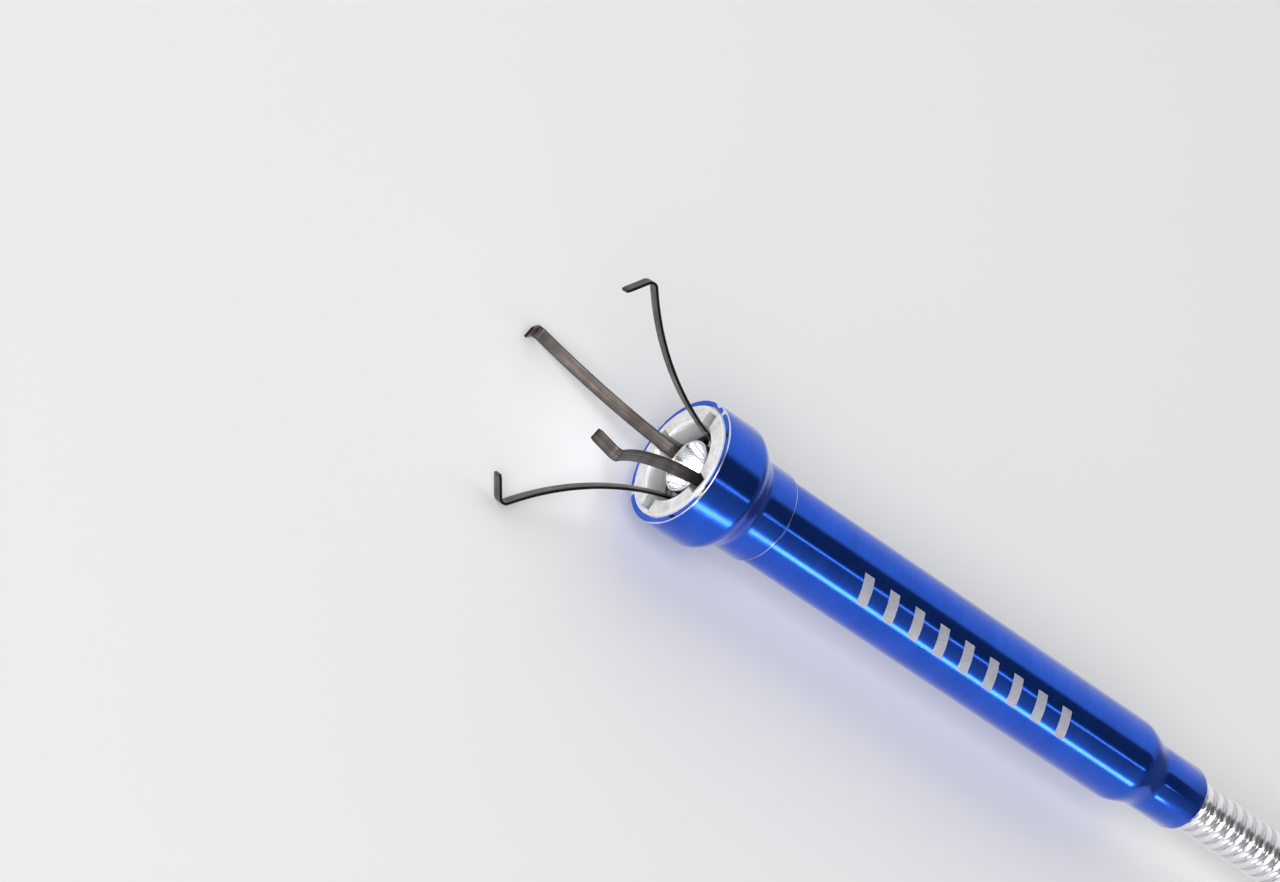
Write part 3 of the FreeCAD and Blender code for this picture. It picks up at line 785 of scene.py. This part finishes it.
def make_strip(name, azimuth, stations, replaced, closed_end):
    """A bent spring strip in one claw's plane, with what its material needs stored on it."""
    base, spread, across = claw_directions(azimuth)
    section = strip_section()
    bm = bmesh.new()
    edge_shade_layer = bm.verts.layers.float.new("strip_edge_shade")
    place_layer = bm.verts.layers.float_vector.new("strip_place")
    rings = []
    run = 0.0
    count = len(stations)
    for index, (x, out, angle) in enumerate(stations):
        if index:
            run += math.hypot(x - stations[index - 1][0], out - stations[index - 1][1])
        shrink = 0.88 if closed_end and index == count - 1 else 1.0
        ring = []
        for side, lift, edge in section:
            offset = lift * shrink
            point = base + across * (side * shrink)
            point += Vector((x - offset * math.sin(angle), 0, 0))
            point += spread * (out + offset * math.cos(angle))
            vert = bm.verts.new(point * MM)
            # painted shade: full on the closed end, else by the section's edge weight
            vert[edge_shade_layer] = 1.0 if shrink < 1 else edge
            vert[place_layer] = Vector((run, side, lift)) * MM
            ring.append(vert)
        rings.append(ring)
    for ring, following in zip(rings, rings[1:]):
        for step in range(len(section)):
            after = (step + 1) % len(section)
            bm.faces.new((ring[step], ring[after], following[after], following[step]))
    bm.faces.new(rings[0])
    bm.faces.new(rings[-1])
    piece = new_piece(name, finish_mesh(bm, name), "claw_steel")
    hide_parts(*replaced)
    return piece


def make_claw(name, azimuth):
    """One strip in two pieces that meet in the middle of the finger, where nothing flexes."""
    rear = depth_range(f"claw_{name}_shank")[1]
    middle = (ROOT_ANGLE + KNUCKLE_ANGLE) / 2
    lower = strip_path((-rear, 0), 0, [
        rear - ROOT_DEPTH, (ROOT_BEND, ROOT_ANGLE), (SWEEP_BEND, middle - ROOT_ANGLE)])
    upper = strip_path(lower[-1][:2], middle, [
        (SWEEP_BEND, HOOK_ANGLE - middle), (HOOK_BEND, HOOK_TURN), HOOK_STRAIGHT])

    root = make_strip(f"claw_{name}_root", azimuth, lower,
                      [f"claw_{name}_shank", f"claw_{name}_finger"], closed_end=False)
    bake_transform(root)
    end = make_strip(f"claw_{name}_end", azimuth, upper, [f"claw_{name}_tip"], closed_end=True)
    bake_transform(end)


# ---- gooseneck ----

COIL_PITCH = 2.4
COIL_SAMPLES = 14
COIL_SEGMENTS = 56
COIL_BORE = 2.4


def coil_profile(phase):
    """(inset, groove) at a phase of the winding: a round wire, then a thinner one sunk beside it; groove weighs
    the painted shade on the sunken parts.
    """
    wide = 0.64
    if phase < wide:
        across = 2 * phase / wide - 1
        inset = 0.62 * (1 - math.sqrt(max(0.0, 1 - 0.97 * across ** 2)))
    else:
        across = 2 * (phase - wide) / (1 - wide) - 1
        inset = 0.34 + 0.16 * (1 - math.sqrt(max(0.0, 1 - 0.94 * across ** 2))) + 0.12 * across ** 2
    return inset, min(1.0, max(0.0, (inset - 0.16) / 0.3))


def make_gooseneck_piece(number, start, end, replaced):
    """A stretch of wound wire around one flexing place."""
    rows = round((end - start) / COIL_PITCH * COIL_SAMPLES)
    bm = bmesh.new()
    groove_shade_layer = bm.verts.layers.float.new("groove")
    rings = []
    for row in range(rows + 1):
        depth = start + (end - start) * row / rows
        ring = []
        for step in range(COIL_SEGMENTS):
            share = step / COIL_SEGMENTS
            inset, groove = coil_profile((depth / COIL_PITCH + share) % 1.0)
            vert = bm.verts.new(on_circle(depth, NECK_RADIUS - inset, 2 * math.pi * share))
            vert[groove_shade_layer] = groove
            ring.append(vert)
        rings.append(ring)
    turns = round((end - start) / COIL_PITCH)
    for row in range(turns + 1):
        depth = end + (start - end) * row / turns
        ring = []
        for step in range(COIL_SEGMENTS):
            turn = 2 * math.pi * step / COIL_SEGMENTS
            vert = bm.verts.new(on_circle(depth, COIL_BORE, turn))
            # painted shade: the inner bore is fully darkened
            vert[groove_shade_layer] = 1.0
            ring.append(vert)
        rings.append(ring)
    for index, ring in enumerate(rings):
        following = rings[(index + 1) % len(rings)]
        for step in range(COIL_SEGMENTS):
            after = (step + 1) % COIL_SEGMENTS
            bm.faces.new((ring[step], ring[after], following[after], following[step]))
    name = f"wound_neck_{number}"
    piece = new_piece(name, finish_mesh(bm, name), "gooseneck_chrome")
    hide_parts(*replaced)
    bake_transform(piece)


def make_gooseneck():
    """One piece for each flexing place, joined in the middle of each link."""
    flexes = [-joint["pos_m"][0] / MM for joint in frame["joints"]
              if joint["name"].startswith("gooseneck_flex")]
    half = (flexes[1] - flexes[0]) / 2
    front, rear = depth_range("gooseneck_front")[0], depth_range("gooseneck_rear")[1]
    for number, flex in enumerate(flexes):
        first, last = number == 0, number == len(flexes) - 1
        start = front if first else flex - half
        end = rear if last else flex + half
        replaced = ["gooseneck_front"] if first else [f"gooseneck_link_{number}"]
        if last:
            replaced.append("gooseneck_rear")
        make_gooseneck_piece(number + 1, start, end, replaced)


# ---- handle ----

HANDLE_BORE = 5.8
CABLE_BORE = 1.2
BULKHEAD = 5.0
GRIP_GROOVES = 5
GROOVE_PITCH = 3.0
GROOVE_RADIUS = 0.5


def make_handle_tube():
    front, rear = depth_range("handle_tube")
    shoulder = front + FERRULE_LENGTH
    outline = [(front, NECK_HOLE), (front, FERRULE_RADIUS - 0.8),
               (front + 0.4, FERRULE_RADIUS - 0.25), (front + 1.2, FERRULE_RADIUS)]
    outline += eased((shoulder - FERRULE_TAPER, FERRULE_RADIUS), (shoulder, BARREL_RADIUS))
    grip_end = depth_range("finger_flange")[0] - 6.0
    for groove in range(GRIP_GROOVES):
        middle = grip_end - (GRIP_GROOVES - groove) * GROOVE_PITCH + GROOVE_RADIUS
        for step in range(9):
            angle = math.pi * step / 8
            outline.append((middle - GROOVE_RADIUS * math.cos(angle),
                            BARREL_RADIUS - GROOVE_RADIUS * math.sin(angle)))
    bore_start = shoulder + 5.2
    outline += [(rear, BARREL_RADIUS), (rear, HANDLE_BORE), (bore_start, HANDLE_BORE),
                (bore_start, CABLE_BORE), (bore_start - BULKHEAD, CABLE_BORE),
                (bore_start - BULKHEAD, NECK_HOLE)]
    handle = lathe("handle_shell", outline, "anodised_blue", "handle")
    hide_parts("handle_tube")


def make_finger_flange():
    front, rear = depth_range("finger_flange")
    disc, hub, hole = widest("finger_flange"), 8.6, 2.58
    disc_front = front + 8.0
    outline = [(front, BARREL_RADIUS), (front, hub)]
    outline += eased((disc_front - 2.0, hub), (disc_front, hub + 2.0), steps=8)
    outline += [(disc_front, disc - 1.0), (disc_front + 0.3, disc - 0.3), (disc_front + 1.1, disc),
                (disc_front + 3.3, disc), (disc_front + 4.1, disc - 0.3), (disc_front + 4.4, disc - 1.0),
                (disc_front + 4.4, hub), (rear, hub - 1.0), (rear, hole), (rear - 2.0, hole),
                (rear - 2.0, BARREL_RADIUS)]
    flange = lathe("finger_flange_disc", outline, "anodised_blue", "handle", fillet=0.4)
    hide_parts("finger_flange")


def make_thumb_button():
    front, rear = depth_range("thumb_button")
    radius, stud = widest("thumb_button"), 1.6
    outline = [(front, stud), (front, radius - 1.4), (front + 0.4, radius - 0.5)]
    outline += eased((front + 0.6, radius - 0.5), (front + 2.4, radius - 0.95), steps=6)
    outline += eased((front + 2.5, radius - 0.95), (front + 4.6, radius - 0.1), steps=6)
    dome, steps = 2.4, 16
    for step in range(steps):
        angle = math.pi / 2 * step / steps
        rise, reach = math.sin(angle) ** (2 / 3), math.cos(angle) ** (2 / 3)
        outline.append((rear - dome * (1 - rise), radius * reach))
    outline += [(rear, 0.0), (front + 5.0, 0.0), (front + 5.0, stud)]
    button = lathe("thumb_button_cap", outline, "anodised_blue", "plunger")
    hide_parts("thumb_button")


def dress_cad_nodes():
    """Every CAD node that stays gets its slot's material."""
    slots = {part["node"]: part["material_slot"] for part in frame["record"]["subparts"]}
    for name, node in frame["nodes"].items():
        node.data.materials.clear()
        node.data.materials.append(materials[slots[name]])


# ---- light ----

WORLD_FRONT, WORLD_REAR = 1.1, 0.22
# brightness of the room by azimuth about X, in degrees
WORLD_STOPS = [
    (-180, 0.80), (-100, 0.85), (-60, 0.84), (-20, 0.74), (-12, 0.12), (24, 0.11),
    (34, 0.24), (66, 0.46), (74, 0.82), (90, 0.92), (180, 0.82)]


def add_world():
    """A pale room with a dark band over the tool, brighter low down on both sides."""
    world = bpy.data.worlds.new("studio")
    bpy.context.scene.world = world
    world.use_nodes = True
    tree = world.node_tree
    tree.nodes.clear()
    split = add(tree, "SeparateXYZ", {0: add(tree, "TexCoord").outputs["Generated"]})
    azimuth = math_node(tree, "ARCTAN2", split.outputs["Y"], split.outputs["Z"])
    share = scaled(tree, azimuth, 0.5 / math.pi, 0.5)
    stops = [(0.5 + degrees / 360.0, grey(value)) for degrees, value in WORLD_STOPS]
    bands = ramp(tree, share, stops)
    outward = add(tree, "CombineXYZ", {"Y": split.outputs["Y"], "Z": split.outputs["Z"]})
    away = add(tree, "VectorMath", {0: outward.outputs[0]}, operation="LENGTH").outputs["Value"]
    fade = add(tree, "MapRange", {"Value": away, "From Min": 0.45, "From Max": 0.72}).outputs[0]
    ends = add(tree, "MapRange", {"Value": split.outputs["X"], "From Min": -0.2, "From Max": 0.2,
                                  "To Min": WORLD_REAR, "To Max": WORLD_FRONT}).outputs[0]
    background = add(tree, "Background", {"Color": mix(tree, fade, ends, bands)})
    output = tree.nodes.new("ShaderNodeOutputWorld")
    tree.links.new(background.outputs[0], output.inputs["Surface"])


def add_lights(floor):
    add_world()
    spare_floor(add_softbox("thin_strip", 30.0, 0.9, 0.6, 0.035, 3.2), floor)
    spare_floor(add_softbox("wide_strip", 81.0, 0.9, 0.6, 0.12, 6.0), floor)
    add_area_light("key_light", Vector((1.20, 1.12, 1.52)), Vector((0, 0, 0)), 1.44, 1.44, 5.6)


bpy.context.scene.view_settings.view_transform = "Standard"
add_camera()
add_lights(add_floor())
materials = make_materials()
# the two pale bands at 0.42 mm and 17.5 mm are painted highlight lines on the lip's front edge and the skirt's
# rear edge
cap_material = turned_material("anodised_cap", ANODISED, ANODISED_DARK, 0.14, marks=3.0, coat=0.25,
                               painted_highlight_edges=[(0.42, 0.10), (17.5, 0.09)])
dress_cad_nodes()
make_barrel()
make_etched_bars()
make_front_cap()
slotted_ring("magnet_face_ring", "magnet_ring", "magnet_nickel", 0.12)
slotted_ring("backing_washer", "magnet_backing_ring", "plated_steel", 0.04)
make_reflector()
make_lamp()
for claw, claw_azimuth in CLAWS.items():
    make_claw(claw, claw_azimuth)
make_gooseneck()
make_handle_tube()
make_finger_flange()
make_thumb_button()
